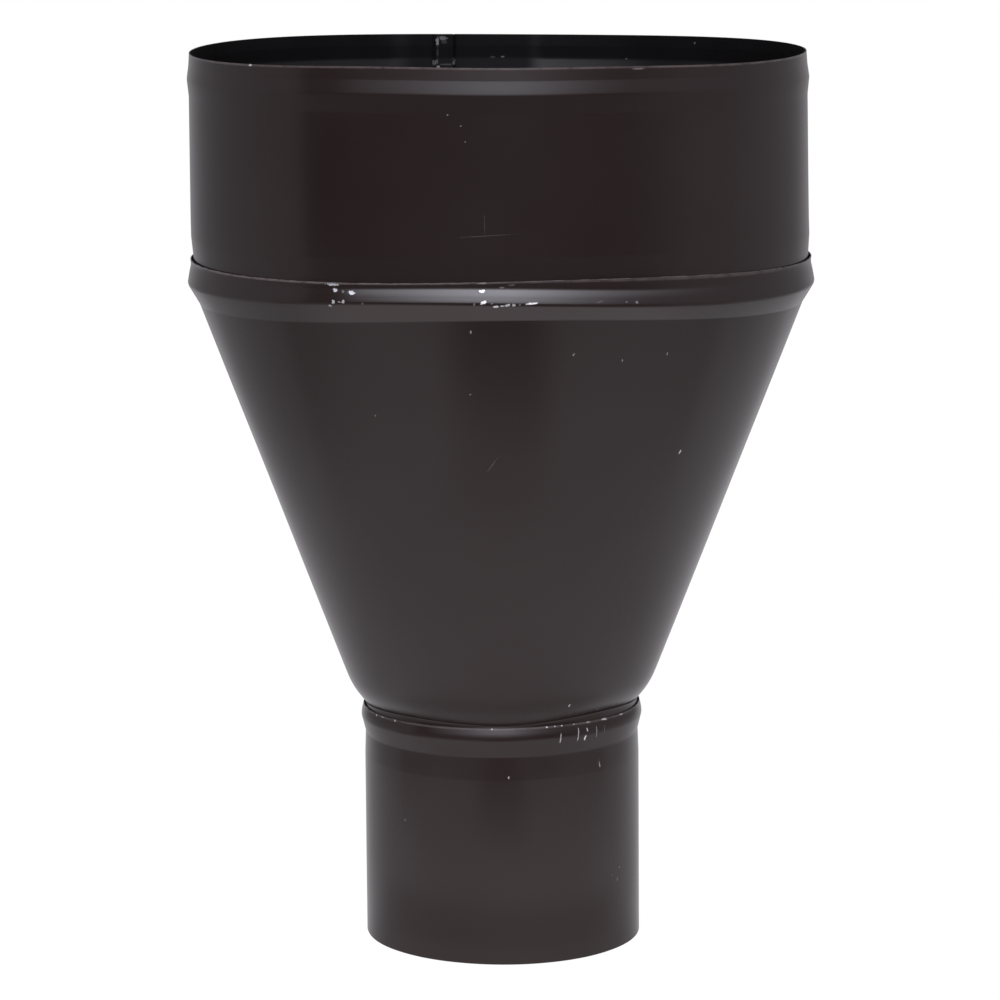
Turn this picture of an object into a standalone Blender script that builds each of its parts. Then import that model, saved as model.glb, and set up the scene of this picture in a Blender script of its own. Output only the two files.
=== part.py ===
"""Downpipe hopper head in thin coated sheet steel, standing on its outlet tube.

Three shells are pushed into each other from above: an outlet tube, a cone and a bowl.
Each shell is a strip of sheet rolled round and closed by a lock seam, two hooked edges
that grip each other on the inside so that the outside stays flush. Where one shell ends
inside the next, a bead rolled through both sheets holds them together.

Metres, +Z up, with the origin in the middle of the outlet tube's lower edge.
"""

import math

import bmesh
import bpy
from mathutils import Vector

# Sheet and fits
SHEET = 0.0005            # thickness of the coated steel sheet
FIT = 0.0003              # air between two nested sheets
SEAM_AIR = 0.00012        # air between the layers of a lock seam

# Heights above the lower edge
TUBE_HEIGHT = 0.0853      # upper edge of the outlet tube's collar
JOINT_HEIGHT = 0.2483     # upper edge of the cone's collar
RIM_HEIGHT = 0.3222       # upper edge of the bowl

# Outlet tube
TUBE_RADIUS = 0.0498      # outer face of the plain tube, which fits a 100 mm downpipe
TUBE_LIP = 0.0013         # collar edge to the start of its bead
TUBE_BEAD_DROP = 0.0043   # collar edge to the bead's crest
TUBE_BEAD_LENGTH = 0.0058  # bead's crest to the plain tube
TUBE_BEAD_RISE = 0.0007   # crest above the collar's face
TUBE_BEAD_BEND = 0.0009   # inside bend of the crest
TUBE_BEAD_FOOT = 0.0030   # bends at the bead's two feet

# Cone
NECK_SET_IN = 0.00034     # neck's outer face inside the line of the plain tube's
NECK_SHOW = 0.0011        # neck left bare between the cone and the tube's collar
NECK_TUCK = 0.0036        # how far the neck runs down past the crest, along the bead
CURL_REACH = 0.0040       # how far the cone's foot stands out over the neck
CURL_RISE = 0.0044        # height of that foot over the neck's corner
CURL_BEND = 0.0220        # inside bend that curls the cone's foot inwards
CORNER_BEND = 0.0008      # bend of the neck's corner
CREASE_DROP = 0.0159      # collar edge down to the crease where the cone begins
CREASE_SET_IN = 0.0022    # cone's outer face at that crease inside the line of the bowl's
CREASE_BEND = 0.0020      # bend of the crease

# Joint of cone and bowl
COLLAR_LIP = 0.0023       # collar edge to the start of the bead
COLLAR_FLARE = 0.0003     # how far the collar's edge stands out
JOINT_BEAD_DROP = 0.0087  # collar edge to the bead's crest
JOINT_BEAD_RISE = 0.00185  # crest above the collar's face
JOINT_BEAD_BEND = 0.0018  # inside bend of the crest
JOINT_BEAD_FOOT = 0.0040  # bend at the bead's upper foot
BOWL_TUCK = 0.0042        # how far the bowl runs down past the crest, along the flank

# Bowl
BOWL_RADIUS = 0.1097      # outer face of the bowl
RIM_LIP = 0.0044          # plain strip between the rim and its bead
RIM_BEAD_WIDTH = 0.0110   # height of the rim bead
RIM_BEAD_RISE = 0.0009    # crest above the bowl's face
RIM_BEAD_BEND = 0.0070    # inside bend of the crest
RIM_BEAD_FOOT = 0.0040    # bends at the bead's two feet

# Lock seams
SEAM_WIDTH = 0.0060       # width of the four gripped layers
SEAM_SLACK = 0.0004       # how far a hook's cut edge stays short of the other's fold
SEAM_RELIEF = 0.0010      # how far the hooks start beyond a nested sheet's edge
BOWL_SEAM = math.radians(100.3)    # the seam seen inside the rim, at the back
CONE_SEAM = math.radians(76.0)
TUBE_SEAM = math.radians(118.0)

# Fineness of the round faces
WALL_STEPS = 52           # flats round a wide shell
TUBE_STEPS = 44           # flats round the tube
CREST_STEPS = 4
FOLD_STEPS = 4            # flats in each half-turn of a hook

NECK_RADIUS = TUBE_RADIUS - NECK_SET_IN
CREASE_RADIUS = BOWL_RADIUS - CREASE_SET_IN
PITCH = SHEET + SEAM_AIR            # one layer of a seam to the next
STACK = 3 * PITCH + SHEET           # all four layers
DEEPEST = SHEET + FIT + STACK       # outer face of a joint to the nested seam's inner face

COLLECTION = "downpipe_hopper_head"


def clear_scene():
    for obj in list(bpy.data.objects):
        bpy.data.objects.remove(obj, do_unlink=True)


def paint(name, colour, roughness):
    """Coated sheet steel in one colour."""
    material = bpy.data.materials.new(name)
    material.use_nodes = True
    shader = material.node_tree.nodes["Principled BSDF"]
    shader.inputs["Base Color"].default_value = (*colour, 1.0)
    shader.inputs["Roughness"].default_value = roughness
    shader.inputs["Metallic"].default_value = 0.0
    return material


class Corner:
    """One corner of a shell's outer face: radius, height, inside bend and flats in the bend."""

    def __init__(self, radius, height, bend=0.0, steps=1):
        self.place = Vector((radius, height))
        self.bend = bend
        self.steps = steps


def along(start, end, distance):
    """The point at a distance from one corner towards the next, kept between the two."""
    way = end.place - start.place
    reach = min(distance, 0.9 * way.length)
    return start.place + way.normalized() * reach


def ways_down(corners):
    """Each straight stretch of a profile as (direction, outward normal, length)."""
    stretches = []
    for start, end in zip(corners, corners[1:]):
        way = end.place - start.place
        direction = way.normalized()
        stretches.append((direction, Vector((-direction.y, direction.x)), way.length))
    return stretches


def mitred(corners, depth):
    """The corners' places at a depth below the outer face, where the sunk stretches meet."""
    stretches = ways_down(corners)
    places = [corners[0].place - stretches[0][1] * depth]
    for corner, before, after in zip(corners[1:], stretches, stretches[1:]):
        mitre = (before[1] + after[1]) / (1 + before[0].dot(after[0]))
        places.append(corner.place - mitre * depth)
    places.append(corners[-1].place - stretches[-1][1] * depth)
    return places


def turn_at(corners, index):
    """How far the profile turns inwards at a corner: positive at a crest, negative at a foot."""
    stretches = ways_down(corners[index - 1:index + 2])
    return stretches[0][0].angle_signed(stretches[1][0])


def nested_in(corners):
    """The corners of a sheet pushed inside another along the same joint, with air between."""
    depth = SHEET + FIT
    inner = []
    for index, (corner, place) in enumerate(zip(corners, mitred(corners, depth))):
        crest = 0 < index < len(corners) - 1 and turn_at(corners, index) > 0
        bend = corner.bend - depth if crest else corner.bend + depth
        inner.append(Corner(*place, bend, corner.steps))
    return inner


def profile(corners, depth):
    """Points down a profile at a depth below its outer face, and where each corner starts.

    A crest bulges outwards and its bend tightens with depth, down to its inside bend at the
    deepest layer. A foot bends the other way and widens with depth. Every bend leaves
    room on its two stretches for the next one.
    """
    stretches = ways_down(corners)
    middles = mitred(corners, depth)
    points = [middles[0]]
    starts = [0]
    for index in range(1, len(corners) - 1):
        corner = corners[index]
        starts.append(len(points))
        turn = turn_at(corners, index)
        if corner.bend == 0 or abs(turn) < 1e-6:
            points.append(middles[index])
            continue
        half = math.tan(abs(turn) / 2)
        room = min((0.45 if corners[near].bend else 0.95) * stretch[2]
                   for near, stretch in ((index - 1, stretches[index - 1]), (index + 1, stretches[index])))
        crest = turn > 0
        outer = min(corner.bend + DEEPEST if crest else corner.bend, room / half)
        radius = max(outer - depth, SEAM_AIR) if crest else outer + depth
        side = 1 if crest else -1
        direction, outward, _ = stretches[index - 1]
        start = middles[index] - direction * radius * half
        centre = start - outward * side * radius
        first = math.atan2(*reversed(start - centre))
        for step in range(corner.steps + 1):
            angle = first - turn * step / corner.steps
            points.append(centre + Vector((math.cos(angle), math.sin(angle))) * radius)
    starts.append(len(points))
    points.append(middles[-1])
    return points, starts


def arc(centre, radius, start, end, steps):
    """Stations round a bend in the plan of a seam, without its first point."""
    stations = []
    for step in range(1, steps + 1):
        angle = math.radians(start + (end - start) * step / steps)
        stations.append((centre[0] + radius * math.cos(angle), centre[1] + radius * math.sin(angle)))
    return stations


def seam_hooks():
    """The two hooked edges in plan, as (distance round the shell, depth of the sheet's middle).

    The covering edge stays flush across the seam, folds inwards and comes back as the third
    layer. The other edge steps down under that fold, runs along as the fourth layer, folds
    outwards and comes back as the second, between the covering edge's two layers.
    """
    half = SEAM_WIDTH / 2
    skin = SHEET / 2
    covering = [(0.0, skin), (-half, skin)]
    covering += arc((-half, skin + PITCH), PITCH, -90, -270, FOLD_STEPS)
    covering += [(0.0, skin + 2 * PITCH), (half - SEAM_SLACK, skin + 2 * PITCH)]
    step_down = -half - 3 * PITCH
    gripping = arc((step_down, skin + PITCH), PITCH, -90, 0, 2)
    gripping += arc((-half, skin + PITCH), 2 * PITCH, 180, 90, 3)
    gripping += [(0.0, skin + 3 * PITCH), (half, skin + 3 * PITCH)]
    gripping += arc((half, skin + 2 * PITCH), PITCH, 90, -90, FOLD_STEPS)
    gripping += [(0.0, skin + PITCH), (-half + SEAM_SLACK, skin + PITCH)]
    return covering, gripping


def rolled_sheet(name, corners, seam, steps, relief, material):
    """A shell of sheet along a profile, rolled round and closed by its lock seam.

    The sheet's middle face is laid out as columns that run down the profile, one at each
    station round the shell, and then gets its thickness. The hooks start at the corner
    numbered relief: above it the sheet's two edges only meet, with a slit of FIT.
    """
    face, starts = profile(corners, 0.0)
    hooks_from = starts[relief]
    mesh = bmesh.new()

    def column(distance, layer, first=0):
        """Vertices down the profile at a distance round the shell and a depth in the sheet."""
        sunk, _ = profile(corners, layer)
        vertices = [None] * first
        for place, outer in list(zip(sunk, face))[first:]:
            angle = seam + distance(outer.x)
            vertices.append(mesh.verts.new((place.x * math.cos(angle), place.x * math.sin(angle), place.y)))
        return vertices

    def skin(left, right, first=0, last=len(face) - 1):
        """Faces between two columns, the left one and the right one as seen from outside."""
        for row in range(first, last):
            mesh.faces.new((left[row], left[row + 1], right[row + 1], right[row]))

    half = SEAM_WIDTH / 2
    step_down = half + 3 * PITCH

    def round_wall(share):
        return lambda radius: (half + (2 * math.pi * radius - half - step_down) * share) / radius

    def at_arc(distance):
        return lambda radius: distance / radius

    wall = [column(round_wall(step / steps), SHEET / 2) for step in range(steps + 1)]
    for left, right in zip(wall, wall[1:]):
        skin(left, right)
    covering, gripping = seam_hooks()
    flush = 2                                     # stations before the covering edge folds
    previous = wall[0]
    for number, (distance, layer) in enumerate(covering):
        first = 0 if number < flush else hooks_from
        current = column(at_arc(distance), layer, first)
        skin(current, previous, first)
        if number == flush - 1 and hooks_from > 0:
            tongue = column(at_arc(-step_down + FIT), layer)
            skin(tongue, current, 0, hooks_from)
        previous = current
    previous = wall[-1]
    for distance, layer in gripping:
        current = column(at_arc(distance), layer, hooks_from)
        skin(previous, current, hooks_from)
        previous = current
    loose = [vertex for vertex in mesh.verts if not vertex.link_faces]
    bmesh.ops.delete(mesh, geom=loose, context="VERTS")
    data = bpy.data.meshes.new(name)
    mesh.to_mesh(data)
    mesh.free()
    shell = bpy.data.objects.new(name, data)
    bpy.data.collections[COLLECTION].objects.link(shell)
    shell.data.materials.append(material)
    thickness = shell.modifiers.new("sheet", "SOLIDIFY")
    thickness.thickness = SHEET
    thickness.offset = 0.0
    thickness.use_even_offset = True
    apply_modifiers(shell)
    return shell


def apply_modifiers(obj):
    """Fix the modifiers into the mesh, and shade it smooth between its cut edges."""
    bpy.context.view_layer.update()
    evaluated = obj.evaluated_get(bpy.context.evaluated_depsgraph_get())
    mesh = bpy.data.meshes.new_from_object(evaluated)
    obj.modifiers.clear()
    obj.data = mesh
    mesh.name = obj.name
    mesh.shade_smooth()
    mesh.set_sharp_from_angle(angle=math.radians(40))


def tube_corners():
    """Outer face of the tube: a collar for the neck, the joint's bead, the plain tube."""
    collar = NECK_RADIUS + FIT + SHEET
    crest = TUBE_HEIGHT - TUBE_BEAD_DROP
    return [Corner(collar, TUBE_HEIGHT),
            Corner(collar, TUBE_HEIGHT - TUBE_LIP, TUBE_BEAD_FOOT),
            Corner(collar + TUBE_BEAD_RISE, crest, TUBE_BEAD_BEND, CREST_STEPS),
            Corner(TUBE_RADIUS, crest - TUBE_BEAD_LENGTH, TUBE_BEAD_FOOT),
            Corner(TUBE_RADIUS, 0.0)]


def joint_corners():
    """Outer face of the cone's collar and bead, down to the crease."""
    collar = BOWL_RADIUS + FIT + SHEET
    return [Corner(collar + COLLAR_FLARE, JOINT_HEIGHT),
            Corner(collar, JOINT_HEIGHT - COLLAR_LIP, JOINT_BEAD_FOOT),
            Corner(collar + JOINT_BEAD_RISE, JOINT_HEIGHT - JOINT_BEAD_DROP, JOINT_BEAD_BEND,
                   CREST_STEPS),
            Corner(CREASE_RADIUS, JOINT_HEIGHT - CREASE_DROP, CREASE_BEND)]


def outlet_tube():
    lip, foot, crest, plain, end = tube_corners()
    relief = Corner(*along(crest, plain, NECK_TUCK + SEAM_RELIEF))
    corners = [lip, foot, crest, relief, plain, end]
    material = paint("tube_coat", (0.034, 0.024, 0.022), 0.42)
    return rolled_sheet("outlet_tube", corners, TUBE_SEAM, TUBE_STEPS, corners.index(relief), material)


def cone():
    lip, foot, crest, crease = joint_corners()
    relief = Corner(*along(crest, crease, BOWL_TUCK + SEAM_RELIEF))
    neck_top = TUBE_HEIGHT + NECK_SHOW
    _, tube_foot, tube_crest, tube_plain, _ = nested_in(tube_corners())
    corners = [lip, foot, crest, relief, crease,
               Corner(NECK_RADIUS + CURL_REACH, neck_top + CURL_RISE, CURL_BEND, CREST_STEPS),
               Corner(NECK_RADIUS, neck_top, CORNER_BEND),
               tube_foot, tube_crest, Corner(*along(tube_crest, tube_plain, NECK_TUCK))]
    material = paint("cone_coat", (0.032, 0.022, 0.020), 0.40)
    return rolled_sheet("cone", corners, CONE_SEAM, WALL_STEPS, corners.index(relief), material)


def bowl():
    lip, foot, crest, crease = nested_in(joint_corners())
    bead_top = RIM_HEIGHT - RIM_LIP
    corners = [Corner(BOWL_RADIUS, RIM_HEIGHT),
               Corner(BOWL_RADIUS, bead_top, RIM_BEAD_FOOT),
               Corner(BOWL_RADIUS + RIM_BEAD_RISE, bead_top - RIM_BEAD_WIDTH / 2, RIM_BEAD_BEND,
                      CREST_STEPS),
               Corner(BOWL_RADIUS, bead_top - RIM_BEAD_WIDTH, RIM_BEAD_FOOT),
               foot, crest, Corner(*along(crest, crease, BOWL_TUCK))]
    material = paint("bowl_coat", (0.030, 0.020, 0.018), 0.38)
    return rolled_sheet("bowl", corners, BOWL_SEAM, WALL_STEPS, 0, material)


def main():
    clear_scene()
    collection = bpy.data.collections.new(COLLECTION)
    bpy.context.scene.collection.children.link(collection)
    outlet_tube()
    cone()
    bowl()


main()
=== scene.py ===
# %% [markdown]
# A downpipe hopper head in thin brown coated sheet steel. Water falls into the wide bowl, the
# cone gathers it and the outlet tube hands it to a downpipe. The imported model holds the three
# shells as plain facets. This lesson rebuilds each shell as a fine sheet, gives the sheet its
# coating, cut edges and marks, and sets it on a white table before a camera.
#
# The frame comes first, because every shell below stands exactly where its node stands.

import bpy
import numpy as np
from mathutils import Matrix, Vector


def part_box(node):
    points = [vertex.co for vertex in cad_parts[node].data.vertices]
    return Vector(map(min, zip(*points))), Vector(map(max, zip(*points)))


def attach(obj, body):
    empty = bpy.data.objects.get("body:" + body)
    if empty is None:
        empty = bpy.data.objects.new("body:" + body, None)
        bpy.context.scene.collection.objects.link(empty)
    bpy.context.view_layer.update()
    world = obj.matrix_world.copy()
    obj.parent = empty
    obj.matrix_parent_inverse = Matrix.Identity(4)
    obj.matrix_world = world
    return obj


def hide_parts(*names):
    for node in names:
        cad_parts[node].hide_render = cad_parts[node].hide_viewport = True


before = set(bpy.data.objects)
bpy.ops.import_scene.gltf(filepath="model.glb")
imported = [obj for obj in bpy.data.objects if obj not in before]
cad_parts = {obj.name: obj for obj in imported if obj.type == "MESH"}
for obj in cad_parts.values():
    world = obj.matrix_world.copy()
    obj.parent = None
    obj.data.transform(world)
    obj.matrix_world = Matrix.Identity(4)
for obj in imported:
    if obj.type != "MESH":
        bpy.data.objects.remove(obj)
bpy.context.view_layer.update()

RIM_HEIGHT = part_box("bowl")[1].z
JOINT_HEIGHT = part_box("cone")[1].z
TUBE_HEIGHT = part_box("outlet_tube")[1].z
upper_edges = np.array([RIM_HEIGHT, JOINT_HEIGHT, TUBE_HEIGHT])
print("nodes", sorted(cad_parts))
print("rim, joint and tube collar stand at", np.round(upper_edges * 1e3, 1), "mm")

# %% [markdown]
# The whole thing is one kind of material, a half-millimetre sheet, so its thickness and the air
# between two nested sheets are the first sizes. All lengths are in metres. A profile is a short
# list of corners of the outer face, each with its radius, its height and the radius of its bend,
# and the list runs down the shell from its upper edge.

# %% Sizes of the sheet and its joints
SHEET = 0.0005
FIT = 0.0003
SEAM_AIR = 0.00012
PITCH = SHEET + SEAM_AIR

BOWL_RADIUS = 0.1097
TUBE_RADIUS = 0.0498
CREASE_SET_IN = 0.0019
NECK_SET_IN = 0.00034
NECK_SHOWS = 0.0006
EDGE_TO_CREST = 0.0043
OVER_TABLE = 0.00001

COLLAR_RADIUS = BOWL_RADIUS + FIT + SHEET
CREASE_RADIUS = BOWL_RADIUS - CREASE_SET_IN
NECK_RADIUS = TUBE_RADIUS - NECK_SET_IN
NECK_TOP = TUBE_HEIGHT + NECK_SHOWS
TUBE_COLLAR_RADIUS = NECK_RADIUS + FIT + SHEET
TUBE_CREST = TUBE_HEIGHT - EDGE_TO_CREST

JOINT = np.array([
    (COLLAR_RADIUS + 0.0003, JOINT_HEIGHT, 0.0),  # cut edge, a little flared
    (COLLAR_RADIUS + 0.00005, JOINT_HEIGHT - 0.0018, 0.0060),  # collar
    (COLLAR_RADIUS + 0.00072, JOINT_HEIGHT - 0.0047, 0.0450),  # upper slope of the bead
    (COLLAR_RADIUS + 0.00143, JOINT_HEIGHT - 0.0087, 0.0025),  # crest of the bead
    (CREASE_RADIUS, JOINT_HEIGHT - 0.0157, 0.0018),  # crease
])
TUBE = np.array([
    (TUBE_COLLAR_RADIUS, TUBE_HEIGHT, 0.0),  # cut edge
    (TUBE_COLLAR_RADIUS + 0.00065, TUBE_HEIGHT - 0.0026, 0.0110),  # upper slope of the bead
    (TUBE_COLLAR_RADIUS + 0.0008, TUBE_CREST, 0.0034),  # crest of the bead
    (TUBE_RADIUS - 0.0002, TUBE_CREST - 0.0057, 0.0030),  # foot of the bead
    (TUBE_RADIUS + 0.0001, TUBE_CREST - 0.0140, 0.0100),  # plain wall
    (TUBE_RADIUS + 0.0002, OVER_TABLE, 0.0),  # lower end
])
crests = np.array([JOINT[3, 0], TUBE[2, 0]])
print("radii of the joint's and the tube's bead", np.round(crests * 1e3, 2), "mm")

# %% [markdown]
# A roller leaves no sharp corner in sheet: each bend is an arc that touches its two straight
# stretches. One function lays out such a line at any depth below the outer face. A crest that
# bulges outwards tightens with depth and a foot widens, so that the layers stay parallel. The
# number of points is the same at every depth, which is what lets two depths be joined later.

# %% The line down a shell
STRETCH = 0.0026
BEND_POINTS = 9
TIGHTEST_BEND = 0.0002


def turns(corners):
    """Direction and outward normal of each stretch, and the inward turn at each inner corner."""
    ways = np.diff(corners[:, :2], axis=0)
    ways /= np.linalg.norm(ways, axis=1)[:, None]
    outward = np.stack([-ways[:, 1], ways[:, 0]], axis=1)
    before, after = ways[:-1], ways[1:]
    cross = before[:, 1] * after[:, 0] - before[:, 0] * after[:, 1]
    return ways, outward, np.arctan2(cross, (before * after).sum(axis=1))


def sunk_corners(corners, depth):
    """The corners at a depth below the outer face.

    Each slides along its mitre, by the depth times the sum of its two normals over 1 + cos(turn).
    Its bend gets narrower or wider by the depth, down to the tightest that the roller makes.
    """
    _, outward, turn = turns(corners)
    sunk = corners.copy()
    sunk[[0, -1], :2] -= outward[[0, -1]] * depth
    sunk[1:-1, :2] -= (outward[:-1] + outward[1:]) / (1 + np.cos(turn))[:, None] * depth
    sunk[1:-1, 2] = np.maximum(sunk[1:-1, 2] - np.sign(turn) * depth, TIGHTEST_BEND)
    return sunk


def line_down(corners, depth=0.0):
    """Radius and height of the points down a shell: arcs at the corners, even steps between them.

    An arc of radius r at a turn t starts r * tan(t / 2) before its corner, and its points lie at
    centre + r * (cos a, sin a) while a falls by t.
    """
    ways, outward, turn = turns(corners)
    sunk = sunk_corners(corners, depth)
    side = np.sign(turn)
    radius = sunk[1:-1, 2]
    reach = radius * np.tan(np.abs(turn) / 2)
    start = sunk[1:-1, :2] - ways[:-1] * reach[:, None]
    centre = start - outward[:-1] * (side * radius)[:, None]
    first = np.arctan2(*(start - centre).T[::-1])
    angle = first[:, None] - turn[:, None] * np.linspace(0, 1, BEND_POINTS)
    arcs = centre[:, None] + radius[:, None, None] * np.stack([np.cos(angle), np.sin(angle)], axis=2)
    leave = np.vstack([sunk[:1, :2], arcs[:, -1]])
    meet = np.vstack([arcs[:, 0], sunk[-1:, :2]])
    lengths = np.linalg.norm(np.diff(corners[:, :2], axis=0), axis=1)
    points = [sunk[:1, :2]]
    for stretch, length in enumerate(lengths):
        share = np.linspace(0, 1, 2 + int(length / STRETCH))[1:-1, None]
        points.append(leave[stretch] + (meet[stretch] - leave[stretch]) * share)
        points.append(arcs[stretch] if stretch < len(arcs) else sunk[-1:, :2])
    return np.vstack(points)


print("points down the joint", line_down(JOINT).shape[0])

# %% [markdown]
# Each shell is a strip rolled round and closed by an inside lock seam: two hooked edges that grip
# each other in four layers, with the outside left flush. In plan it is a path of stations, each a
# distance round the shell and a depth in the stack. The covering edge folds inwards and comes back
# as the third layer, and the other edge steps down, runs as the fourth and comes back as the
# second. Where a shell lies over another one the hooks are notched away, and the edges only meet.

# %% The lock seam in plan
SEAM_WIDTH = 0.0060
SEAM_SLACK = 0.0004
HALF_SEAM = SEAM_WIDTH / 2
STEP_DOWN = HALF_SEAM + 3 * PITCH
SKIN = SHEET / 2


def bent(distance, depth, radius, start, end, points):
    """Stations round a bend in plan: centre + radius * (cos a, sin a), for a from start to end."""
    angle = np.radians(np.linspace(start, end, points + 1)[1:])
    return np.stack([distance + radius * np.cos(angle), depth + radius * np.sin(angle)], axis=1)


COVERING_FLAT = np.array([(0.0, SKIN), (-HALF_SEAM, SKIN)])
COVERING = np.vstack([
    COVERING_FLAT,
    bent(-HALF_SEAM, SKIN + PITCH, PITCH, -90, -270, 8),
    [(0.0, SKIN + 2 * PITCH), (HALF_SEAM - SEAM_SLACK, SKIN + 2 * PITCH)],
])
GRIPPING = np.vstack([
    bent(-STEP_DOWN, SKIN + PITCH, PITCH, -90, 0, 5),
    bent(-HALF_SEAM, SKIN + PITCH, 2 * PITCH, 180, 90, 6),
    [(0.0, SKIN + 3 * PITCH), (HALF_SEAM, SKIN + 3 * PITCH)],
    bent(HALF_SEAM, SKIN + 2 * PITCH, PITCH, 90, -90, 8),
    [(0.0, SKIN + PITCH), (-HALF_SEAM + SEAM_SLACK, SKIN + PITCH)],
])
print("stations in the seam", len(COVERING) + len(GRIPPING))

# %% [markdown]
# A hand-fed bead roller never runs quite level. On this piece the joint of bowl and cone rides up
# by a few millimetres towards the front, with its bead at a slant to the collar's edge. The rim
# waves and dips at the front, the foot of the cone stands higher on either side of the front than
# at it, and bowl and tube lean by under a degree. All of that is one smooth displacement of space,
# used on every shell alike, so that nested sheets stay nested. Azimuth is measured from the front,
# positive to the right.
#
# The ride is set at a few heights of the level piece: how far it rises there, at which azimuth it
# is highest and how far round it spreads.

# %% How the real piece runs out of true
RIDE_HEIGHTS = np.array([0.0, 0.0745, 0.0853, 0.1007, 0.2327, 0.2396, 0.2465, 0.2483, 0.3000])
RIDE_RISES = np.array([0.0, 0.0003, 0.0010, 0.0012, 0.0053, 0.0042, 0.0028, 0.0031, 0.0])
RIDE_MIDDLES = np.radians([10.0, 10.0, 10.0, 3.0, 3.0, -7.0, -4.0, 13.0, 13.0])
RIDE_SPREADS = np.radians([80.0, 80.0, 80.0, 44.0, 44.0, 40.0, 34.0, 44.0, 44.0])
AXIS_HEIGHTS = np.array([0.0, 0.0853, 0.0920, 0.2350, 0.2483, 0.2620, 0.3222])
AXIS_SHIFTS = np.array([0.00070, 0.00010, 0.0, 0.0, -0.00016, -0.00055, -0.00137])
SIDE_TILT = 0.00045
RIM_MEAN = -0.00090
RIM_WAVES = [(1, 0.00039, 153), (2, 0.00012, -90), (3, 0.00054, 18)]
RIM_SHOULDERS = 0.0010
RIM_DIP_WIDTH = np.radians(24)
RIM_WAVE_FROM = 0.26
FOOT_SHOULDERS = 0.0039
FOOT_DIP_WIDTH = np.radians(46)
FOOT_FADE = 0.0120
RIPPLES = [(0.00004, 5, 40, 0.0), (0.00003, 11, -70, 1.0)]


def dip(azimuth, width):
    """A dip at the front between two shoulders: s * exp(-s), s the square of azimuth over width."""
    shoulders = (azimuth / width) ** 2
    return shoulders * np.exp(-shoulders)


def rim_wave(azimuth):
    """Rise of the rim over its packed height: a mean, a dip at the front and slow waves.

    A wave is its height times the cosine of so many times the azimuth plus its start in degrees.
    """
    waves = sum(height * np.cos(times * azimuth + np.radians(start))
                for times, height, start in RIM_WAVES)
    return RIM_MEAN + waves + RIM_SHOULDERS * dip(azimuth, RIM_DIP_WIDTH)


def foot_rise(azimuth):
    """Rise of the cone's foot: a dip at the front whose right shoulder is the higher one."""
    return FOOT_SHOULDERS * dip(azimuth, FOOT_DIP_WIDTH) * (1 + 0.3 * np.sin(azimuth))


def out_of_true(x, y, z):
    """Points moved to where the piece holds them.

    Height gains a ride that fades with the azimuth as a bell curve, and a tilt with its sine. The
    rim adds its wave and the cone's foot its rise. The axis itself runs sideways, by a line
    through a few heights, and two faint ripples swell the wall.
    """
    azimuth = np.arctan2(x, -y)
    rise = np.interp(z, RIDE_HEIGHTS, RIDE_RISES)
    middle = np.interp(z, RIDE_HEIGHTS, RIDE_MIDDLES)
    spread = np.interp(z, RIDE_HEIGHTS, RIDE_SPREADS)
    ride = rise * np.exp(-((azimuth - middle) / spread) ** 2)
    tilt = SIDE_TILT * np.sin(azimuth) * np.clip(z / TUBE_HEIGHT, 0, 1)
    near_rim = np.clip((z - RIM_WAVE_FROM) / (RIM_HEIGHT - RIM_WAVE_FROM), 0, 1)
    rim = rim_wave(azimuth) * near_rim
    near_foot = np.interp(z, [TUBE_HEIGHT, NECK_TOP, NECK_TOP + FOOT_FADE], [0, 1, 0])
    foot = foot_rise(azimuth) * near_foot
    lean = np.interp(z, AXIS_HEIGHTS, AXIS_SHIFTS)
    ripple = sum(height * np.sin(times * azimuth + climb * z + start)
                 for height, times, climb, start in RIPPLES)
    swell = 1 + ripple / np.hypot(x, y)
    return x * swell + lean, y * swell, z + ride + tilt + rim + foot


level_crease = JOINT[-1, 1]
front_crease = out_of_true(np.zeros(1), np.array([-BOWL_RADIUS]), np.array([level_crease]))[2][0]
print("the crease rides up by %.1f mm at the front" % ((front_crease - level_crease) * 1e3))

# %% [markdown]
# A shell is the product of the two: a column of points down the profile at every station round the
# plan. The grid is the middle of the sheet. Its faces are a mask on the grid, which leaves out the
# hooks where they are notched. Solidify then gives the sheet its thickness, with the backing coat
# on the inner side and the bare cut on the rim, and a small Bevel takes the burr off the edges.

# %% Rolling a sheet into a shell
BURR = 0.00011
CUT_EDGE_ANGLE = np.radians(60)


def rolled_grid(corners, seam, steps, hooks_below):
    """Middle of the sheet as a grid (station, row, xyz), and a mask of its quads.

    The angle of a station is seam + 2 pi * share + distance / radius. The share runs from 0 to 1
    round the wall and is 0 in the hooks, whose distances are short. In a notched row the covering
    edge ends just past its flat part, a fit away from the other edge.
    """
    share = np.linspace(0, 1, steps + 1)
    wall = np.stack([HALF_SEAM - (HALF_SEAM + STEP_DOWN) * share, np.full(steps + 1, SKIN)], axis=1)
    stations = np.vstack([COVERING[::-1], wall, GRIPPING])
    shares = np.concatenate([np.zeros(len(COVERING)), share, np.zeros(len(GRIPPING))])
    face = line_down(corners)
    lines = np.stack([line_down(corners, depth) for depth in stations[:, 1]])
    distance = np.repeat(stations[:, :1], len(face), axis=1)
    tongue = len(COVERING) - len(COVERING_FLAT) - 1
    notched = face[:, 1] > hooks_below
    distance[tongue, notched] = -STEP_DOWN + FIT
    lines[tongue, notched] = line_down(corners, SKIN)[notched]
    angle = seam + 2 * np.pi * shares[:, None] + distance / face[:, 0]
    radius, height = lines[:, :, 0], lines[:, :, 1]
    grid = np.stack(out_of_true(radius * np.cos(angle), radius * np.sin(angle), height), axis=2)
    kept = np.ones((len(stations) - 1, len(face) - 1), bool)
    station = np.arange(len(stations) - 1)
    hooks = (station < tongue) | (station >= len(COVERING) + steps)
    kept[np.ix_(hooks, notched[:-1])] = False
    return grid, kept


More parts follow.
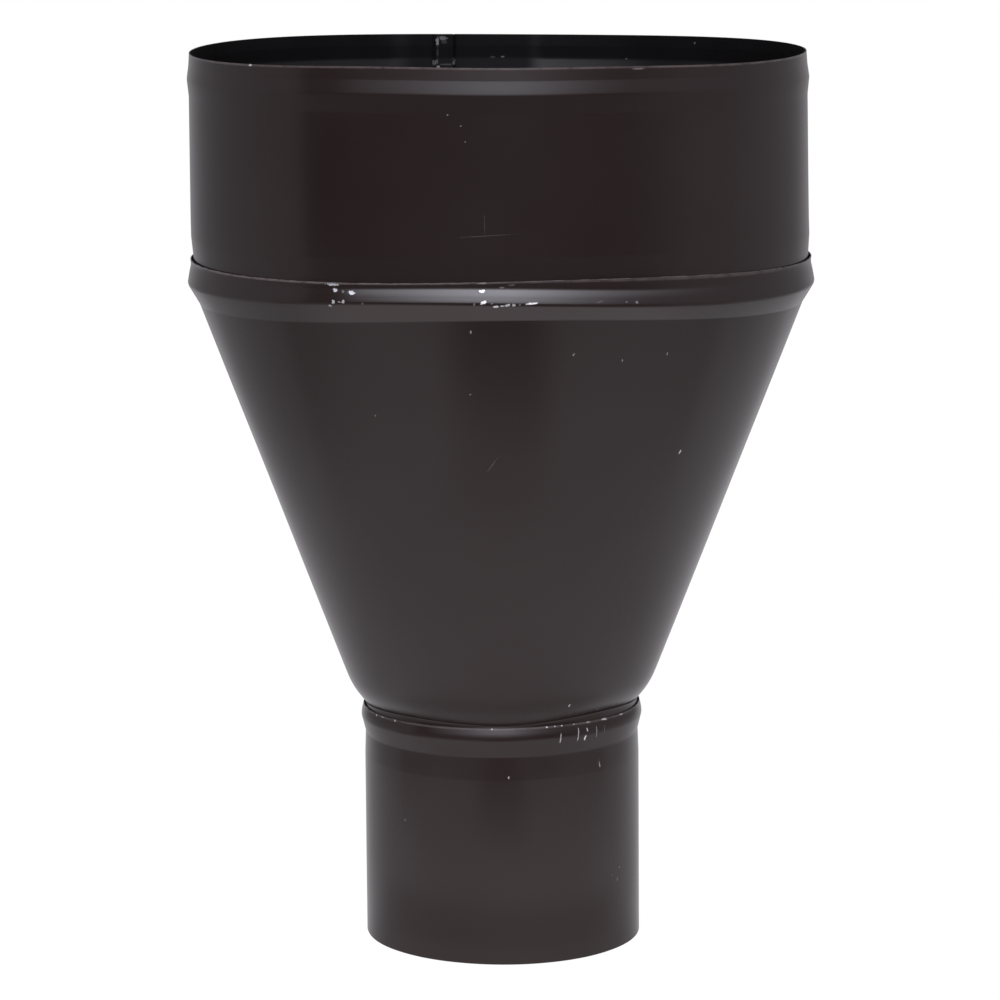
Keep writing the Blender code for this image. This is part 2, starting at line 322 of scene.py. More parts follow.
def mesh_of(name, grid, kept):
    """A mesh of the kept quads, with its place on the flat sheet as a UV map.

    A quad is named by its upper left corner on the grid. The map holds the distance round the
    shell and the distance down from the upper edge, both in metres.
    """
    rows = grid.shape[1]
    left = np.argwhere(kept) @ np.array([rows, 1])
    quads = np.stack([left, left + 1, left + rows + 1, left + rows], axis=1)
    used, quads = np.unique(quads, return_inverse=True)
    mesh = bpy.data.meshes.new(name)
    mesh.from_pydata(grid.reshape(-1, 3)[used], [], quads.reshape(-1, 4).tolist())
    step_down = np.linalg.norm(np.diff(grid, axis=1), axis=2).mean(axis=0)
    down = np.concatenate([[0.0], np.cumsum(step_down)])
    step_round = np.linalg.norm(np.diff(grid[:, 0], axis=0), axis=1)
    along = np.concatenate([[0.0], np.cumsum(step_round)])
    flat = np.stack(np.meshgrid(along, down, indexing="ij"), axis=2).reshape(-1, 2)
    mesh.uv_layers.new(name="flat_sheet").data.foreach_set("uv", flat[used][quads.ravel()].ravel())
    return mesh


def sheet_shell(name, corners, seam, steps, hooks_below, finishes):
    """A shell as an object at the origin, with its thickness and its eased cut edges applied.

    The finishes are the coat, the backing coat and the cut edge, and the seam is in degrees from
    the right-hand side.
    """
    grid, kept = rolled_grid(corners, np.radians(seam), steps, hooks_below)
    mesh = mesh_of(name, grid, kept)
    mesh.shade_smooth()
    shell = bpy.data.objects.new(name, mesh)
    bpy.context.scene.collection.objects.link(shell)
    for finish in finishes:
        shell.data.materials.append(finish)
    thickness = shell.modifiers.new("sheet", "SOLIDIFY")
    thickness.thickness = SHEET
    thickness.offset = 0
    thickness.use_even_offset = True
    thickness.material_offset = 1
    thickness.material_offset_rim = 2
    burr = shell.modifiers.new("burr", "BEVEL")
    burr.width = BURR
    burr.segments = 2
    burr.limit_method = "ANGLE"
    burr.angle_limit = CUT_EDGE_ANGLE
    burr.harden_normals = True
    bpy.context.view_layer.update()
    evaluated = shell.evaluated_get(bpy.context.evaluated_depsgraph_get())
    mesh = bpy.data.meshes.new_from_object(evaluated)
    shell.modifiers.clear()
    shell.data = mesh
    return shell


print("sheet %.1f mm thick, cut edges eased by %.2f mm" % (SHEET * 1e3, BURR * 1e3))

# %% [markdown]
# A finish is a small graph of shader nodes, and arithmetic reads better than a web of links. So a
# number on its way through a material is wrapped in a class whose operators add Math nodes, and
# every other node comes from one method, which sets its options first and then its sockets.

# %% Shader maths written as arithmetic
class Strand:
    """A socket on its way through a graph. Operators on it add Math nodes."""

    def __init__(self, recipe, socket):
        self.recipe = recipe
        self.socket = socket

    def maths(self, operation, *values):
        return self.recipe.node("ShaderNodeMath", {"operation": operation}, values)

    def __add__(self, other):
        return self.maths("ADD", self, other)

    def __radd__(self, other):
        return self.maths("ADD", other, self)

    def __sub__(self, other):
        return self.maths("SUBTRACT", self, other)

    def __rsub__(self, other):
        return self.maths("SUBTRACT", other, self)

    def __mul__(self, other):
        return self.maths("MULTIPLY", self, other)

    def __rmul__(self, other):
        return self.maths("MULTIPLY", other, self)

    def __truediv__(self, other):
        return self.maths("DIVIDE", self, other)

    def or_more(self, other):
        return self.maths("MAXIMUM", self, other)

    def angle_over(self, other):
        """The angle whose tangent is this over the other, on the full circle."""
        return self.maths("ARCTAN2", self, other)

    def eased(self, low, high):
        """0 below low, 1 above high and a smooth step between. It falls if low is over high."""
        values = {"Value": self, "From Min": low, "From Max": high}
        return self.recipe.node("ShaderNodeMapRange", {"interpolation_type": "SMOOTHSTEP"}, values)


class Recipe:
    """The node tree of a material or of the world."""

    def __init__(self, tree):
        self.tree = tree

    def node(self, kind, options=None, values=(), output=0):
        """A new node: its options are set, then its sockets by name or number."""
        made = self.tree.nodes.new(kind)
        for option, value in (options or {}).items():
            setattr(made, option, value)
        for key, value in dict(values if isinstance(values, dict) else enumerate(values)).items():
            self.plug(made.inputs[key], value)
        return Strand(self, made.outputs[output])

    def plug(self, socket, value):
        if isinstance(value, Strand):
            self.tree.links.new(value.socket, socket)
        else:
            socket.default_value = value

    def blend(self, share, first, second):
        """The colour between two colours, at a share from 0 to 1."""
        return self.node("ShaderNodeMix", {"data_type": "RGBA"}, {0: share, 6: first, 7: second}, output=2)

    def split(self, vector):
        parts = self.node("ShaderNodeSeparateXYZ", None, [vector]).socket.node
        return [Strand(self, socket) for socket in parts.outputs]

    def length(self, vector):
        return self.node("ShaderNodeVectorMath", {"operation": "LENGTH"}, [vector], output=1)

    def place(self):
        """The place on the piece, in the frame that all pieces share."""
        return self.node("ShaderNodeTexCoord", None, (), output="Object")

    def noise(self, place, scale, detail=2.0, roughness=0.5):
        values = {"Vector": place, "Scale": scale, "Detail": detail, "Roughness": roughness}
        return self.node("ShaderNodeTexNoise", None, values)


def new_finish(name):
    """An empty painted finish: its material, its recipe and its Principled shader."""
    material = bpy.data.materials.new(name)
    material.use_nodes = True
    shader = material.node_tree.nodes["Principled BSDF"]
    return material, Recipe(material.node_tree), shader


print("a strand can", "add, subtract, multiply, divide, take the larger, turn to an angle and ease")

# %% [markdown]
# The bead roller chipped the coat down to the bright zinc where it gripped. A mark is an ellipse
# laid on the sheet by its azimuth and height: distance from its middle, scaled by its length and
# width, plus noise that makes its edge ragged. The noise reaches out a little, so the ellipse is
# drawn a little smaller than the mark.

# %% A mark in the coat
ZINC = (0.90, 0.89, 0.90, 1.0)
MARK_REACH = 0.1
HALF_MARK = 0.42e-3
MARK_SOFTNESS = 0.15
RAGGEDNESS = 2.4


class Mark:
    """A chip or scratch: azimuth and slant in degrees, height, length and width in millimetres."""

    def __init__(self, azimuth, height, length, width, slant=0.0, bright=1.0):
        self.middle = (np.radians(azimuth) * MARK_REACH, height * 1e-3, 0.0)
        self.slant = np.radians(slant)
        self.size = (length * HALF_MARK, width * HALF_MARK, 1.0)
        self.bright = bright

    def mask(self, recipe, unrolled, ragged):
        """How bright the mark is inside its ellipse, and 0 outside, with a soft ragged edge."""
        values = {"Vector": unrolled, "Location": self.middle, "Rotation": (0.0, 0.0, self.slant),
                  "Scale": self.size}
        local = recipe.node("ShaderNodeMapping", {"vector_type": "TEXTURE"}, values)
        edge = recipe.length(local) + ragged
        return edge.eased(1 + MARK_SOFTNESS, 1 - MARK_SOFTNESS) * self.bright


def chipped(recipe, place, marks, grain):
    """The brightest of the marks at a place, on the wall unrolled to azimuth times reach and height."""
    x, y, z = recipe.split(place)
    azimuth = x.angle_over(y * -1)
    unrolled = recipe.node("ShaderNodeCombineXYZ", None, [azimuth * MARK_REACH, z, 0.0])
    ragged = (recipe.noise(place, scale=grain, detail=3.0, roughness=0.7) - 0.5) * RAGGEDNESS
    chips = ragged * 0.0
    for mark in marks:
        chips = chips.or_more(mark.mask(recipe, unrolled, ragged))
    return chips


print("a mark of 1 mm is drawn %.2f mm across" % (2e3 * HALF_MARK))

# %% [markdown]
# The marks are read off the photograph one by one. At the joint the roller gripped hard twice,
# thirty degrees to the left and in the middle. On the tube's collar it left a row of upright
# scratches and a chipped edge. Two fine lines cross on the bowl. Along the seam inside the back
# the marks are partly scrapes and partly painted highlights, where the folded edges of the seam
# catch the light. The rest are single specks.

# %% Where the marks lie
BOWL_MARKS = [
    Mark(-50.1, 320.1, 1.6, 0.8),
    Mark(24.5, 320.6, 5.0, 0.4, 0, 0.25),
    Mark(-9.3, 306.1, 0.5, 0.4, 0, 0.4),
    Mark(-7.0, 302.5, 0.5, 0.4, 0, 0.5),
    Mark(-6.2, 297.3, 0.4, 0.4, 0, 0.4),
    Mark(-2.9, 270.0, 0.25, 9.0, 0, 0.05),
    Mark(-2.9, 266.4, 20.0, 0.3, 4, 0.06),
]
CONE_MARKS = [
    Mark(-30.4, 248.7, 5.2, 0.9, 2, 0.75),
    Mark(-30.0, 246.9, 2.0, 1.3, 0, 0.9),
    Mark(-28.4, 246.6, 0.8, 1.0, 30, 0.2),
    Mark(-26.7, 246.4, 2.4, 1.5, -8, 1.0),
    Mark(-30.1, 243.0, 1.1, 1.9, -10, 0.75),
    Mark(-28.2, 243.3, 1.1, 1.4, 10, 0.6),
    Mark(-29.0, 243.1, 1.3, 0.5, 0, 0.35),
    Mark(-30.9, 241.6, 1.3, 0.8, 0, 0.55),
    Mark(-24.4, 243.0, 0.7, 0.8, 0, 0.15),
    Mark(-3.3, 248.2, 2.2, 1.0, 0, 1.0),
    Mark(-3.1, 244.5, 2.1, 1.2, 35, 0.9),
    Mark(-4.6, 243.8, 0.6, 1.0, 0, 0.2),
    Mark(-1.6, 244.2, 0.9, 0.6, 0, 0.2),
    Mark(-0.9, 243.2, 1.8, 0.9, 0, 0.95),
    Mark(0.1, 243.4, 1.2, 0.7, 0, 0.7),
    Mark(1.0, 243.6, 2.0, 0.9, 8, 0.9),
    Mark(2.1, 243.7, 1.2, 0.9, -20, 0.75),
    Mark(3.1, 243.8, 0.6, 0.5, 0, 0.3),
    Mark(5.1, 244.1, 3.9, 0.8, 6, 0.9),
    Mark(-3.2, 250.8, 3.2, 0.6, 2, 0.2),
    Mark(0.1, 249.4, 1.8, 0.5, 0, 0.18),
    Mark(1.8, 250.2, 2.2, 0.8, 8, 0.08),
    Mark(17.0, 244.2, 3.0, 0.6, 10, 0.06),
    Mark(23.8, 243.5, 1.2, 1.0, -40, 0.22),
    Mark(21.9, 243.8, 0.8, 0.8, 0, 0.12),
    Mark(13.5, 225.8, 0.5, 1.4, -20, 0.35),
    Mark(23.3, 222.9, 0.5, 1.2, 10, 0.3),
    Mark(32.8, 224.2, 0.5, 1.2, 0, 0.3),
    Mark(43.2, 187.3, 0.9, 1.5, -30, 0.9),
    Mark(-5.5, 234.0, 0.5, 1.3, 0, 0.4),
    Mark(-6.1, 211.9, 0.6, 0.6, 0, 0.25),
    Mark(-26.5, 202.9, 0.7, 0.7, 0, 0.25),
    Mark(-1.9, 186.7, 0.6, 8.0, -38, 0.05),
    Mark(26.4, 94.0, 1.4, 1.3, 0, 0.6),
]
TUBE_MARKS = [
    Mark(24.3, 81.9, 1.0, 4.8, -12, 0.5),
    Mark(32.3, 82.3, 1.1, 5.2, -8, 0.5),
    Mark(36.7, 83.7, 2.0, 1.1, -45, 0.75),
    Mark(35.7, 80.8, 2.2, 1.5, 50, 0.95),
    Mark(41.6, 82.1, 0.8, 4.4, 0, 0.3),
    Mark(46.0, 82.6, 0.6, 3.4, 0, 0.12),
    Mark(-3.8, 86.3, 0.8, 1.8, 0, 0.8),
    Mark(18.6, 86.3, 1.5, 1.0, 0, 0.75),
    Mark(22.1, 86.3, 1.3, 1.0, 0, 0.65),
    Mark(25.0, 86.3, 1.8, 1.0, 0, 0.75),
    Mark(30.6, 86.3, 1.0, 0.8, 0, 0.5),
    Mark(37.5, 86.25, 5.0, 0.7, -3, 0.35),
    Mark(46.5, 86.1, 6.5, 0.8, -3, 0.6),
    Mark(58.0, 86.0, 4.5, 0.7, 0, 0.45),
    Mark(-49.0, 85.1, 1.8, 0.8, 0, 0.45),
    Mark(-58.0, 85.0, 6.0, 0.5, 0, 0.3),
    Mark(-63.0, 84.8, 1.6, 1.0, 0, 0.6),
    Mark(3.0, 68.4, 1.1, 1.1, 0, 0.5),
    Mark(44.5, 69.8, 1.0, 3.2, 22, 0.45),
    Mark(-43.8, 49.4, 0.7, 0.7, 0, 0.3),
    Mark(57.6, 29.6, 0.6, 0.9, 0, 0.35),
    Mark(56.0, 25.5, 0.6, 1.4, 0, 0.35),
    Mark(52.3, 27.7, 0.5, 1.0, 0, 0.25),
]
# Partly scrapes, partly painted highlights where the folded edges of the seam catch the light.
SEAM_SCRAPES_AND_GLINTS = [
    Mark(-166.9, 318.6, 1.2, 3.9, 0, 0.30),
    Mark(-167.0, 314.2, 0.8, 3.6, 0, 0.05),
    Mark(-166.9, 310.9, 0.9, 2.4, 0, 0.08),
    Mark(-166.45, 310.5, 1.1, 2.8, 0, 0.16),
    Mark(-167.1, 308.9, 1.3, 1.2, 0, 0.28),
    Mark(-168.1, 319.9, 3.4, 1.6, 0, 0.20),
    Mark(-168.3, 318.6, 2.6, 2.2, 30, 0.05),
    Mark(-170.45, 310.5, 1.4, 2.2, 20, 0.20),
    Mark(-170.3, 311.6, 1.0, 1.6, 0, 0.05),
    Mark(-168.9, 309.8, 5.5, 0.7, 0, 0.06),
    Mark(179.95, 312.5, 2.4, 0.9, 0, 0.20),
    Mark(-178.2, 312.4, 2.0, 0.9, 0, 0.05),
    Mark(137.8, 319.3, 0.9, 0.9, 0, 0.15),
    Mark(154.2, 312.3, 0.8, 0.8, 0, 0.12),
]
print("marks", len(BOWL_MARKS + CONE_MARKS + TUBE_MARKS), "outside and", len(SEAM_SCRAPES_AND_GLINTS), "inside")

# %% [markdown]
# The coat is a brown polyester that comes on the coil: dark, satin, with a faint orange peel from
# the oven. A wide noise makes the brown a little uneven. A pale line along the upper cut edges is
# partly paint rubbed thin and partly painted highlight, and a pale band on the slope under the
# joint's bead, at the front, is a painted reflection of the bright table. Both are found by the
# distance down the flat sheet, so that they follow the edge where the joint rides up.

# %% The brown coat
BROWN = (0.0250, 0.0160, 0.0148, 1.0)
BROWN_WORN = (0.0280, 0.0187, 0.0174, 1.0)
# Pale tone for the edge line, partly rubbed paint and partly painted highlight, and for the painted
# reflection under the joint's bead.
RUB_AND_SHEEN_TONE = (0.150, 0.118, 0.112, 1.0)
COAT_INDEX = 1.5
SATIN = 0.17
PEEL_HEIGHT = 0.000003
EDGE_LINE_WIDTH = 0.0009
EDGE_LINE_FULL = 0.0004
# Where the painted reflection lies on the joint's bead, by distance down the sheet and azimuth.
SHEEN_TOP = 0.0090
SHEEN_FOOT = 0.0160
SHEEN_SOFT = 0.0004
SHEEN_ENDS = 0.8
SHEEN_FULL = 0.4


def coat(name, marks, rub_and_highlight, less_right=0.0, painted_sheen=0.0):
    """The brown coat of one shell, with its marks, its pale upper edge and a painted sheen on its bead.

    The edge line is broken and weaker on the right by a given amount; it is partly rubbed paint and
    partly painted highlight. The painted sheen is a painted reflection on the lower slope of the
    joint's bead, at the front.
    """
    material, recipe, shader = new_finish(name)
    place = recipe.place()
    x, y, _ = recipe.split(place)
    azimuth = x.angle_over(y * -1)
    clouds = recipe.noise(place, scale=22.0, detail=3.0)
    chips = chipped(recipe, place, marks, grain=1300.0)
    _, down, _ = recipe.split(recipe.node("ShaderNodeUVMap", {"uv_map": "flat_sheet"}))
    broken = recipe.noise(place, scale=160.0, detail=3.0, roughness=0.6).eased(0.30, 0.60) * 0.6 + 0.4
    # The pale edge line: partly paint rubbed thin, partly painted highlight.
    edge = down.eased(EDGE_LINE_WIDTH, EDGE_LINE_FULL) * broken * (rub_and_highlight - less_right * azimuth.eased(-0.9, 0.4))
    # Painted reflection: a pale band on the lower slope of the joint's bead, at the front, where the bead
    # mirrors the bright table.
    below_top = down.eased(SHEEN_TOP - SHEEN_SOFT, SHEEN_TOP + SHEEN_SOFT)
    above_foot = down.eased(SHEEN_FOOT + SHEEN_SOFT, SHEEN_FOOT - SHEEN_SOFT)
    in_front = azimuth.eased(-SHEEN_ENDS, -SHEEN_FULL) * azimuth.eased(SHEEN_ENDS, SHEEN_FULL)
    tone = recipe.blend(clouds.eased(0.3, 0.7), BROWN, BROWN_WORN)
    tone = recipe.blend(edge.or_more(below_top * above_foot * in_front * painted_sheen), tone, RUB_AND_SHEEN_TONE)
    recipe.plug(shader.inputs["Base Color"], recipe.blend(chips, tone, ZINC))
    recipe.plug(shader.inputs["Metallic"], chips * 0.4)
    recipe.plug(shader.inputs["Roughness"], SATIN + clouds * 0.03 + chips * 0.2)
    peel = recipe.noise(place, scale=700.0, detail=1.0)
    bump = {"Strength": 1.0, "Distance": PEEL_HEIGHT, "Height": peel - chips * 3}
    recipe.plug(shader.inputs["Normal"], recipe.node("ShaderNodeBump", None, bump))
    shader.inputs["IOR"].default_value = COAT_INDEX
    print(name, "has", len(marks), "marks and", len(recipe.tree.nodes), "nodes")
    return material


TUBE_COAT = coat("tube_coat", TUBE_MARKS, rub_and_highlight=0.5)
CONE_COAT = coat("cone_coat", CONE_MARKS, rub_and_highlight=1.5, less_right=0.95, painted_sheen=0.27)
BOWL_COAT = coat("bowl_coat", BOWL_MARKS, rub_and_highlight=0.75)

# %% [markdown]
# The inner side of coated sheet has only a thin dark backing coat, almost black. About the middle
# of the back it has a duller, greyer band that mirrors less: painted shade on the reflection, in
# place of the camera's dark reflection. The sheared edge shows the sheet itself, where coat and
# zinc alternate along the cut. It is given a darker grey on the rim than on the two collars, which
# is painted shade on one and the same sheet.

# %% The backing coat and the cut edges
BACKING_DARK = (0.0058, 0.0050, 0.0053, 1.0)
BACKING_PALE = (0.0088, 0.0078, 0.0081, 1.0)


def backing(name, marks):
    """The thin dark backing coat of the inner side, with its marks and a band of painted shade.

    The band runs from about 20 degrees left of the middle of the back to about 7 degrees right.
    """
    material, recipe, shader = new_finish(name)
    place = recipe.place()
    x, y, _ = recipe.split(place)
    from_back = x.angle_over(y)
    # Painted shade on the reflection: the band mirrors less, in place of the camera's dark reflection.
    reflection_shade = from_back.eased(-0.42, -0.30) * from_back.eased(0.16, 0.08)
    chips = chipped(recipe, place, marks, grain=1100.0)
    clouds = recipe.noise(place, scale=40.0, detail=3.0)
    tone = recipe.blend(clouds, BACKING_DARK, BACKING_PALE)
    recipe.plug(shader.inputs["Base Color"], recipe.blend(chips, tone, ZINC))
    recipe.plug(shader.inputs["Metallic"], reflection_shade * 0.75)
    recipe.plug(shader.inputs["Roughness"], 0.24 + clouds * 0.1 + reflection_shade * 0.35)
    shader.inputs["IOR"].default_value = COAT_INDEX
    return material


def cut_edge(name, dark, pale):
    """The sheared edge: noise along the cut blends a dark and a pale grey, both a little warm."""
    material, recipe, shader = new_finish(name)
    worn = recipe.noise(recipe.place(), scale=260.0, detail=3.0, roughness=0.6).eased(0.42, 0.62)
    tone = recipe.blend(worn, (dark, dark * 0.87, dark * 0.85, 1.0), (pale, pale * 0.94, pale * 0.94, 1.0))
    recipe.plug(shader.inputs["Base Color"], tone)
    shader.inputs["Roughness"].default_value = 0.75
    shader.inputs["IOR"].default_value = 1.2
    return material


BACKING = backing("backing_coat", [])
SEAM_BACKING = backing("seam_backing", SEAM_SCRAPES_AND_GLINTS)
# The same sheared sheet, painted a darker grey on the rim than on the collars: painted shade.
RIM_CUT_SHADED = cut_edge("rim_cut_shaded", dark=0.03, pale=0.10)
COLLAR_CUT = cut_edge("collar_cut", dark=0.09, pale=0.26)
print("inner and cut finishes", [finish.name for finish in (BACKING, SEAM_BACKING, RIM_CUT_SHADED, COLLAR_CUT)])

# %% [markdown]
# Two sheets that are rolled together share one joint line. The inner one lies a sheet and a fit
# deeper and ends a short way past the bead, and the outer one keeps its seam's hooks clear of that
# end. Each finished shell stands for its own node, keeps that node's sizes, takes its finish and
# rides on the one body that the part has.

# %% Nesting a sheet and fitting out a shell
NECK_TUCK = 0.0036
BOWL_TUCK = 0.0042
RELIEF = 0.0010


def nested_in(corners):
    """A sheet pushed inside another along the same joint: one thickness and one fit deeper."""
    return sunk_corners(corners, SHEET + FIT)


def part_way(start, end, distance):
    """The corner at a distance from one corner towards the next."""
    way = end[:2] - start[:2]
    place = start[:2] + way / np.linalg.norm(way) * distance
    return np.array([(*place, 0.0)])


def fit_out(shell, node):
    """The shell stands in for its node, which is hidden, and rides with the part."""
    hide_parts(node)
    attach(shell, "root")
    low = np.array(shell.bound_box).min(axis=0)
    high = np.array(shell.bound_box).max(axis=0)
    triangles = sum(len(face.vertices) - 2 for face in shell.data.polygons)
    print(shell.name, "mm", np.round((high - low) * 1e3, 2), "triangles", triangles)


print("the bowl reaches %.1f mm past the bead, the neck %.1f mm" % (BOWL_TUCK * 1e3, NECK_TUCK * 1e3))

# %% [markdown]
# The outlet tube is the plainest shell: a collar that takes the neck of the cone, the bead that
# locks the two, and a plain end. Its seam can't be seen from the front, so it lies at the back.

# %% The outlet tube
tube_hooks = part_way(TUBE[2], TUBE[3], NECK_TUCK + RELIEF)[0, 1]
tube = sheet_shell("outlet_tube_sheet", TUBE, seam=118.0, steps=200, hooks_below=tube_hooks,
                   finishes=[TUBE_COAT, BACKING, COLLAR_CUT])
fit_out(tube, "outlet_tube")

# %% [markdown]
# The cone starts above with the collar and bead that hold the bowl, turns in at a crease, runs
# straight down and curls in over the neck. The neck then dives into the tube's collar and follows
# the tube's bead from inside.

# %% The cone
CURL_REACH = 0.0050
CURL_RISE = 0.0069
CURL_BEND = 0.0300
NECK_BEND = 0.0008
neck = nested_in(TUBE)
CONE = np.vstack([
    JOINT,
    (NECK_RADIUS + CURL_REACH, NECK_TOP + CURL_RISE, CURL_BEND),
    (NECK_RADIUS, NECK_TOP, NECK_BEND),
    neck[1:3],
    part_way(neck[2], neck[3], NECK_TUCK),
])
cone_hooks = part_way(JOINT[-2], JOINT[-1], BOWL_TUCK + RELIEF)[0, 1]
cone = sheet_shell("cone_sheet", CONE, seam=76.0, steps=280, hooks_below=cone_hooks,
                   finishes=[CONE_COAT, BACKING, COLLAR_CUT])
fit_out(cone, "cone")

# %% [markdown]
# The bowl is a short cylinder with a low bead under its rim, which stiffens the open edge. Its
# lower end follows the joint's bead inside the cone's collar. Its seam is the one that shows in
# the photograph, inside the rim at the back, so it runs all the way up.

# %% The bowl
RIM_LIP = 0.0044
RIM_CREST = 0.0048
RIM_BEAD = 0.0110
ALL_THE_WAY_UP = 1.0
tuck = nested_in(JOINT)
BOWL = np.vstack([
    (BOWL_RADIUS - 0.0005, RIM_HEIGHT, 0.0),  # cut edge
    (BOWL_RADIUS - 0.0002, RIM_HEIGHT - RIM_LIP, 0.0040),  # lip over the bead
    (BOWL_RADIUS + 0.0005, RIM_HEIGHT - RIM_LIP - RIM_CREST, 0.0060),  # crest of the bead
    (BOWL_RADIUS - 0.0001, RIM_HEIGHT - RIM_LIP - RIM_BEAD, 0.0060),  # foot of the bead
    (BOWL_RADIUS + 0.0005, JOINT_HEIGHT + 0.0080, 0.0100),  # wall over the joint
    (BOWL_RADIUS, JOINT_HEIGHT + 0.0015, 0.0100),  # drawn in at the collar
    tuck[1:-1],
    part_way(tuck[-2], tuck[-1], BOWL_TUCK),
])
bowl = sheet_shell("bowl_sheet", BOWL, seam=101.0, steps=280, hooks_below=ALL_THE_WAY_UP,
                   finishes=[BOWL_COAT, SEAM_BACKING, RIM_CUT_SHADED])
fit_out(bowl, "bowl")

# %% [markdown]
# The piece stands on a white table. What the satin sheet mirrors of it isn't even: it is brightest
# in a ring in front of the piece, which is why the cone and the tube grow paler towards their
# feet, and darker close to the piece, towards the sides and far in front, where a narrow shadow
# lies straight ahead. Seen directly the table is a flat white disc that fades out with the
# distance from the piece, and beyond it the white surroundings take over without a seam.

# %% The table
TABLE_REACH = 0.9
TABLE_RINGS = 24
TABLE_SPOKES = 96
TABLE_DROP = 0.0001
TABLE_NEAR = 0.10
TABLE_FAR = 0.36
TABLE_GLOW = 0.59
ROOM_TINT = (1.0, 0.98, 1.02, 1.0)
WHITE = (1.0, 1.0, 1.0, 1.0)


def table_disc():
    """A flat disc under the piece: ring i of n has the radius (i / n) squared times the reach."""
    rings = np.linspace(0, 1, TABLE_RINGS + 1)[:, None] ** 2 * TABLE_REACH
    angle = np.linspace(0, 2 * np.pi, TABLE_SPOKES, endpoint=False)
    grid = np.stack(np.broadcast_arrays(rings * np.cos(angle), rings * np.sin(angle), -TABLE_DROP), axis=2)
    ring, spoke = np.meshgrid(np.arange(TABLE_RINGS), np.arange(TABLE_SPOKES), indexing="ij")
    inner = ring * TABLE_SPOKES
    outer = inner + TABLE_SPOKES
    following = (spoke + 1) % TABLE_SPOKES
    quads = np.stack([inner + spoke, outer + spoke, outer + following, inner + following], axis=2)
    mesh = bpy.data.meshes.new("table")
    mesh.from_pydata(grid.reshape(-1, 3), [], quads.reshape(-1, 4).tolist())
    return mesh


def mirrored_glow(x, y, away):
    """Brightness that the table gives off as painted light where the sheet mirrors it; it is no lamp.

    An even glow, plus a pool in front that is bright in a ring and dark inside and outside it,
    plus the light close round the foot, less a fall towards the sides. Far in front it sinks to a
    fifth, and a shadow straight ahead takes most of the rest.
    """
    forward = y.eased(0.03, -0.04)
    pool = 0.10 * away.eased(0.24, 0.15) - 0.12 * away.eased(0.22, 0.36) - 0.24 * away.eased(0.150, 0.105)
    bounce = 0.08 * away.eased(0.078, 0.064) * y.eased(-0.020, -0.045)
    side_fall = (0.24 * x.eased(-0.22, -0.42) + 0.17 * x.eased(0.25, 0.48)) * (1 - 0.7 * y.eased(0.4, 0.8))
    shadow = 1 - (x * x).eased(0.016, 0.002) * y.eased(-0.19, -0.37) * 0.85
    return (TABLE_GLOW + forward * pool + bounce - side_fall) * (1 - 0.8 * y.eased(-0.26, -0.50)) * shadow


def table_white():
    """Plain white that fades to clear where it is seen, and the uneven glow where it is mirrored."""
    material, recipe, shader = new_finish("table_white")
    shader.inputs["Base Color"].default_value = (0.95, 0.95, 0.95, 1.0)
    shader.inputs["Roughness"].default_value = 0.9
    shader.inputs["Specular IOR Level"].default_value = 0.0
    place = recipe.place()
    x, y, _ = recipe.split(place)
    away = recipe.length(place)
    seen = recipe.node("ShaderNodeLightPath", None, (), output="Is Camera Ray")
    # The table glows with this painted light, pool, bounce and shadow alike, for every ray but the
    # camera's.
    glowing = recipe.node("ShaderNodeEmission", None, [ROOM_TINT, mirrored_glow(x, y, away)])
    plain = recipe.node("ShaderNodeEmission", None, [WHITE, 1.09])
    painted = recipe.node("ShaderNodeMixShader", None, [0.13, plain, Strand(recipe, shader.outputs[0])])
    clear = recipe.node("ShaderNodeBsdfTransparent")
    faded = recipe.node("ShaderNodeMixShader", None, [away.eased(TABLE_NEAR, TABLE_FAR), painted, clear])
    lit = recipe.node("ShaderNodeMixShader", None, [seen, glowing, faded])
    recipe.plug(material.node_tree.nodes["Material Output"].inputs["Surface"], lit)
    return material


table = bpy.data.objects.new("table", table_disc())
bpy.context.scene.collection.objects.link(table)
table.data.materials.append(table_white())
print("table patch fades from %.2f to %.2f m" % (TABLE_NEAR, TABLE_FAR))

# %% [markdown]
# The light is a plain soft studio: a bright ceiling, pale walls at the sides and the back, and a
# dim room in front with a wide soft light above it. Satin paint shows such a room as calm bands.
# It is all in the world, as a function of a direction's azimuth and elevation, and the camera
# itself sees plain white.

# %% The studio
LAMP_TINT = (0.97, 0.98, 1.08, 1.0)
WALL_LIGHT = 0.27
CEILING_LIGHT = 0.5
LAMP_LIGHT = 6.0
LAMP_HAZE = 1.3
LAMP_LEFT = np.radians(-60)
FRONT_LEFT = np.radians(-76)
FRONT_RIGHT = np.radians(60)
CRISP = 0.06
SLOW = 0.35


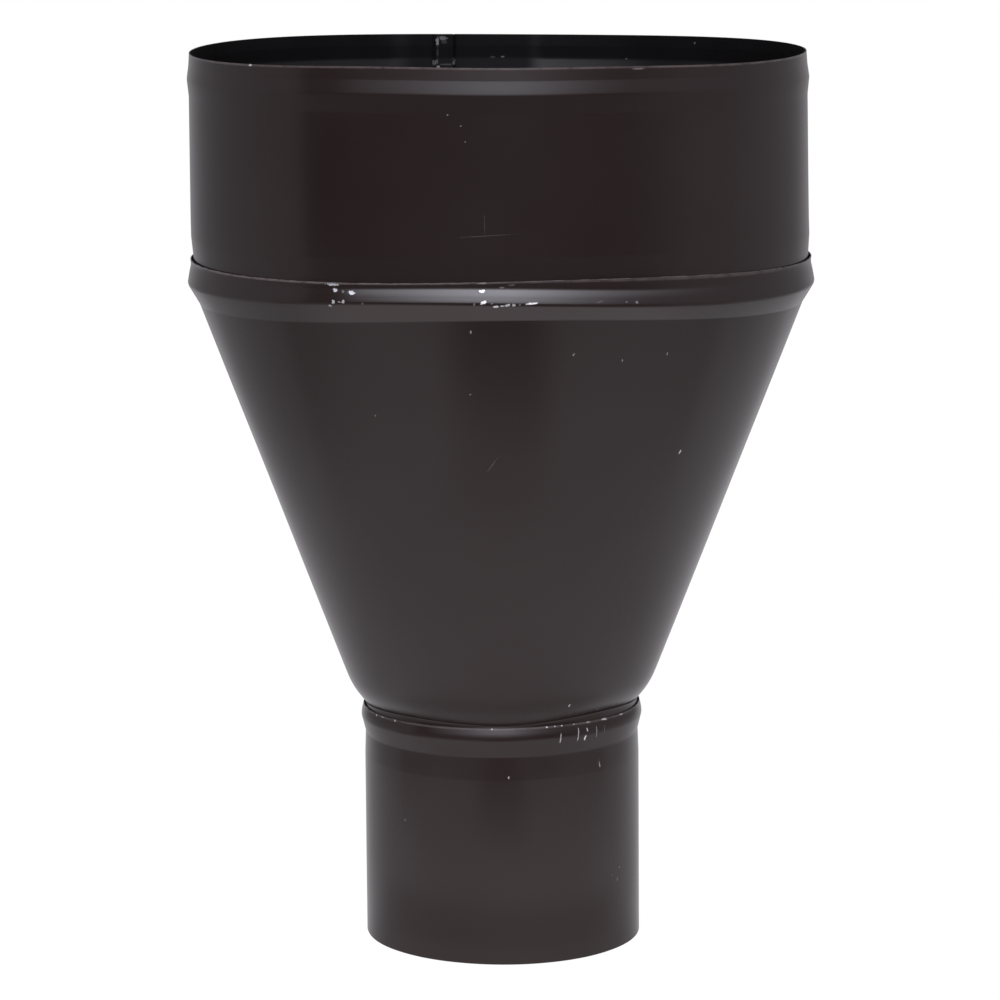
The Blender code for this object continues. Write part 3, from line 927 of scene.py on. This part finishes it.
def studio(recipe):
    """Radiance of the room by direction, and 1 above eye level, where the light is cooler.

    The radiance adds walls, a dim front with a crisp left side and a slow right one, the front
    light with the haze round it, and the ceiling. The light fades round the room by
    1 / (1 + s * s), s its azimuth over a spread that is narrower on the right.
    """
    x, y, z = recipe.split(recipe.node("ShaderNodeTexCoord", None, (), output="Generated"))
    azimuth = x.angle_over(y * -1)
    elevation = z.maths("ARCSINE", z) * (180 / np.pi)
    front = azimuth.eased(FRONT_LEFT - CRISP, FRONT_LEFT + CRISP)
    front = front * azimuth.eased(FRONT_RIGHT + SLOW, FRONT_RIGHT - SLOW)
    behind = y.eased(0.75, 0.98) * (0.12 + 0.14 * elevation.eased(-6, -12))
    walls = (WALL_LIGHT + behind) * (1 - front) + 0.12 * elevation.eased(-4.5, -8) * front
    spread = azimuth / (0.80 - 0.25 * azimuth.eased(-0.2, 0.2))
    lamp_round = azimuth.eased(LAMP_LEFT - CRISP, LAMP_LEFT + CRISP) * azimuth.eased(1.9, 1.1)
    lamp_round = lamp_round / (1 + spread * spread)
    haze = elevation.eased(0, 8) * LAMP_HAZE * elevation.eased(40, 30) * lamp_round
    lamp = elevation.eased(12, 23) * LAMP_LIGHT * elevation.eased(36, 28)
    ceiling = elevation.eased(30, 60) * CEILING_LIGHT
    return walls + lamp_round * (haze + lamp) + ceiling, elevation.eased(2, 12)


world = bpy.data.worlds.new("studio")
world.use_nodes = True
bpy.context.scene.world = world
recipe = Recipe(world.node_tree)
camera_ray = recipe.node("ShaderNodeLightPath", None, (), output="Is Camera Ray")
through = recipe.node("ShaderNodeLightPath", None, (), output="Is Transmission Ray")
plain_white = camera_ray.or_more(through)
room, high = studio(recipe)
strength = room * (1 - plain_white) + plain_white
tint = recipe.blend(high, ROOM_TINT, LAMP_TINT)
background = world.node_tree.nodes["Background"]
recipe.plug(background.inputs["Color"], recipe.blend(plain_white, tint, WHITE))
recipe.plug(background.inputs["Strength"], strength)
print("world nodes", len(world.node_tree.nodes))

# %% [markdown]
# The photograph was taken with a long lens from a little above the rim, looking down by almost ten
# degrees: the rim is a thin ellipse and the foot a deep one. The distance follows from how fast
# the ellipses open from rim to foot.

# %% The camera
CAMERA_PLACE = (-0.00048, -1.4016, 0.4001)
CAMERA_TILT = 9.749
LENS = 141.58
FILM_WIDTH = 36.0
lens = bpy.data.cameras.new("camera")
lens.sensor_width = FILM_WIDTH
lens.lens = LENS
lens.clip_start = 0.1
camera = bpy.data.objects.new("camera", lens)
camera.location = CAMERA_PLACE
camera.rotation_euler = (np.radians(90 - CAMERA_TILT), 0, 0)
bpy.context.scene.collection.objects.link(camera)
bpy.context.scene.camera = camera
bpy.context.scene.view_settings.view_transform = "Standard"
print("camera at", CAMERA_PLACE, "lens", LENS)
